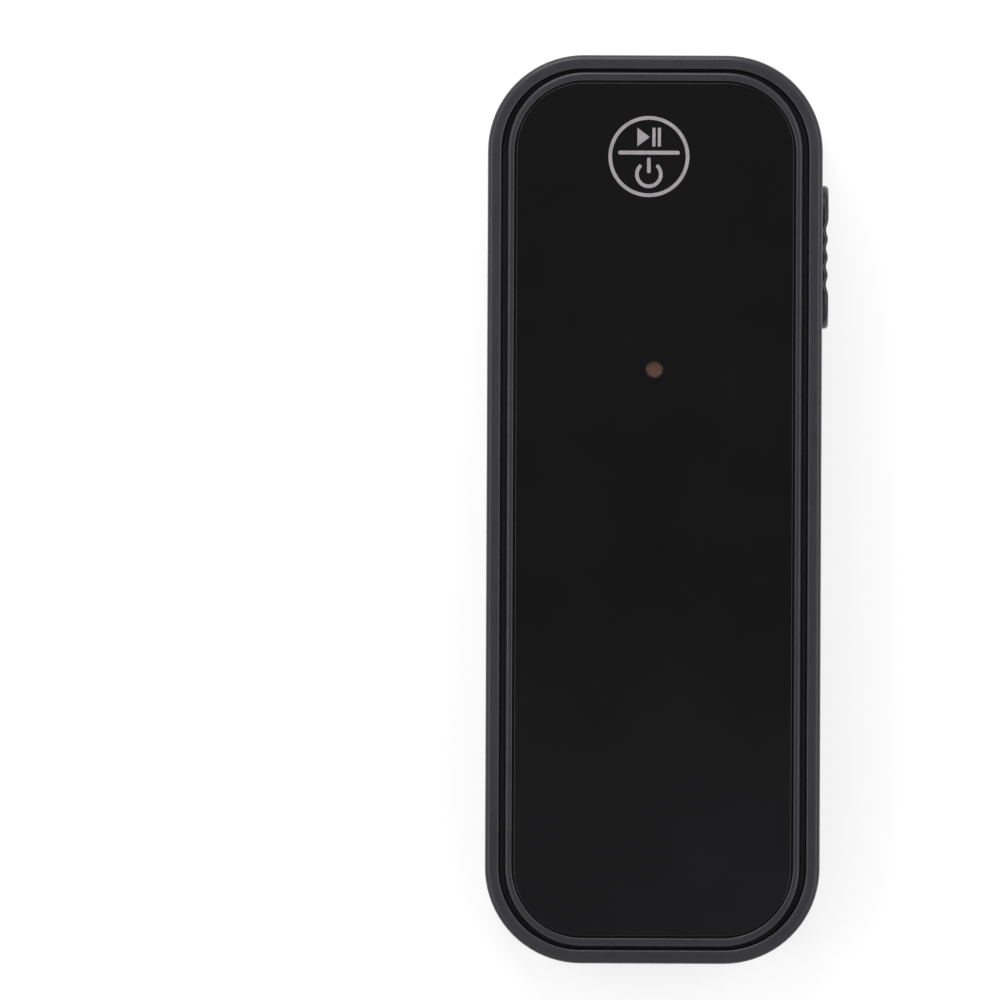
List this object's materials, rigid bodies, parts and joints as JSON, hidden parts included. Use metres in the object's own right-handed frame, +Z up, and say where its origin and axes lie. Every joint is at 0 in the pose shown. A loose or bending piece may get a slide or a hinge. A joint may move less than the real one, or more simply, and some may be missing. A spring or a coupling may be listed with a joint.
{
  "type": "bluetooth audio receiver",
  "caption": "Slim wireless audio receiver in a rounded case, with a gloss touch panel, a tilting volume key on its side, a 3.5 mm jack and a USB-C socket.",
  "frame": {"origin": "middle of the back face, on the surface that the receiver lies on", "axes": "+X to the side with the volume key, +Y along the case to the end with the 3.5 mm jack, +Z up through the front panel"},
  "size_m": [0.0263, 0.07, 0.012],
  "materials": {
    "shell_black": "fine moulded texture, satin",
    "cover_black": "satin",
    "panel_black": "high gloss",
    "key_black": "satin",
    "print_grey": "screen-printed touch symbol",
    "adhesive_black": "matt",
    "switch_black": "matt",
    "stem_ivory": "satin",
    "sheet_steel": "satin",
    "spring_bronze": "bright",
    "ferrule_nickel": "bright",
    "gold_contact": "gold plated",
    "board_green": "solder mask",
    "chip_black": "matt",
    "ceramic_white": "matt",
    "ceramic_tan": "matt",
    "ferrite_grey": "matt",
    "led_clear": "clear",
    "copper_foil": "bright",
    "boot_rubber": "matt",
    "mesh_brown": "woven",
    "cell_pouch": "foil",
    "tape_white": "matt",
    "lead_red": "satin",
    "lead_black": "satin"
  },
  "bodies": {
    "case": {"back_shell": "shell_black", "front_cover": "cover_black", "panel_adhesive": "adhesive_black", "front_panel": "panel_black", "switch_housing_up": "switch_black", "switch_housing_down": "switch_black", "switch_cover_up": "sheet_steel", "switch_cover_down": "sheet_steel", "switch_dome_up": "spring_bronze", "switch_dome_down": "spring_bronze", "jack_housing": "switch_black", "jack_ferrule": "ferrule_nickel", "jack_contact_tip": "gold_contact", "jack_contact_ring": "gold_contact", "jack_contact_sleeve": "gold_contact", "usb_shell": "sheet_steel", "usb_tongue": "switch_black", "usb_contacts": "gold_contact", "main_board": "board_green", "bluetooth_chip": "chip_black", "charge_chip": "chip_black", "crystal": "sheet_steel", "chip_antenna": "ceramic_white", "chip_capacitors": "ceramic_tan", "power_inductor": "ferrite_grey", "status_led": "led_clear", "touch_electrode": "copper_foil", "touch_spring": "spring_bronze", "mic_capsule": "gold_contact", "mic_boot": "boot_rubber", "mic_mesh": "mesh_brown", "battery_cell": "cell_pouch", "battery_tape": "tape_white", "battery_guard_board": "board_green", "battery_lead_red": "lead_red", "battery_lead_black": "lead_black", "board_screws": "sheet_steel"},
    "volume_key": {"volume_rocker": "key_black"},
    "stem_up": {"switch_stem_up": "stem_ivory"},
    "stem_down": {"switch_stem_down": "stem_ivory"}
  },
  "joints": [
    {"name": "volume_key_tilt", "type": "hinge", "parent": "case", "child": "volume_key", "pos_m": [0.01, 0.0195, 0.006], "axis": [0, 0, 1], "range_deg": [-3, 3], "stiffness_Nm_per_rad": 0.12},
    {"name": "stem_up_press", "type": "slide", "parent": "case", "child": "stem_up", "axis": [-1, 0, 0], "range_m": [-0.00021, 0.00021]},
    {"name": "stem_down_press", "type": "slide", "parent": "case", "child": "stem_down", "axis": [-1, 0, 0], "range_m": [-0.00021, 0.00021]}
  ],
  "couplings": [
    {"joint": "stem_up_press", "follows": "volume_key_tilt", "m_per_rad": 0.0038982},
    {"joint": "stem_down_press", "follows": "volume_key_tilt", "m_per_rad": -0.0038982}
  ]
}
